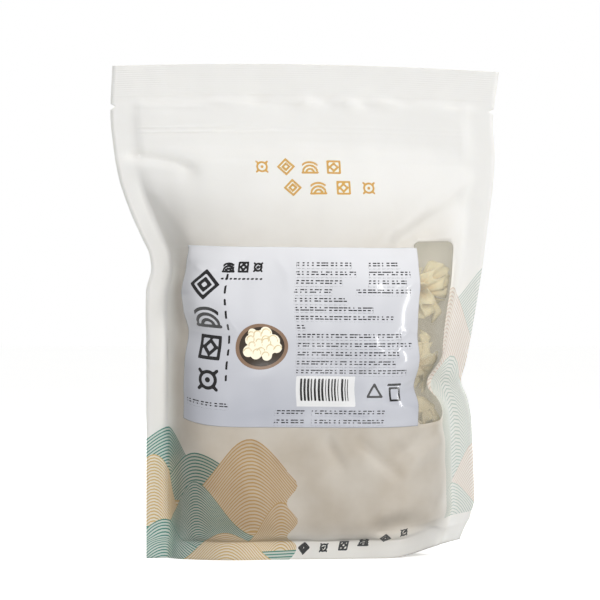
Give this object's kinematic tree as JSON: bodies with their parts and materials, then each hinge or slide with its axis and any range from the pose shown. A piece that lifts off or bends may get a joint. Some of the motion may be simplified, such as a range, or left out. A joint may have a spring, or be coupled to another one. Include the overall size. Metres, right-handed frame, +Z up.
{
  "type": "sealed stand-up zip pouch of dried white fungus",
  "caption": "Sealed stand-up film pouch with a ribbed top seal, zipper, side fins, folded foot, clear side window, pasted label and dried white fungus ears inside.",
  "frame": {"origin": "middle of the pouch's box at floor level, the plane of the rims that it stands on", "axes": "+Z up to the pouch's top seal, -Y out of the front with the label and window, +X to the side of the window"},
  "size_m": [0.2002, 0.0834, 0.2535],
  "materials": {
    "pouch_film": "satin white laminated film, slightly translucent, with fine relief of creases",
    "clear_film": "clear glossy film",
    "label_film": "glossy white pasted label film",
    "zipper_plastic": "extruded white polyethylene",
    "dried_fungus": null
  },
  "bodies": {
    "root": {"front_panel": "pouch_film", "back_panel": "pouch_film", "bottom_gusset": "pouch_film", "window": "clear_film", "label": "label_film", "zipper_front": "zipper_plastic", "zipper_back": "zipper_plastic", "ear_01": "dried_fungus", "ear_02": "dried_fungus", "ear_03": "dried_fungus", "ear_04": "dried_fungus", "ear_05": "dried_fungus", "ear_06": "dried_fungus", "ear_07": "dried_fungus", "ear_08": "dried_fungus", "ear_09": "dried_fungus", "ear_10": "dried_fungus", "ear_11": "dried_fungus", "ear_12": "dried_fungus", "ear_13": "dried_fungus", "ear_14": "dried_fungus", "ear_15": "dried_fungus", "ear_16": "dried_fungus", "ear_17": "dried_fungus", "ear_18": "dried_fungus", "ear_19": "dried_fungus", "ear_20": "dried_fungus", "ear_21": "dried_fungus", "ear_22": "dried_fungus"}
  },
  "joints": []
}
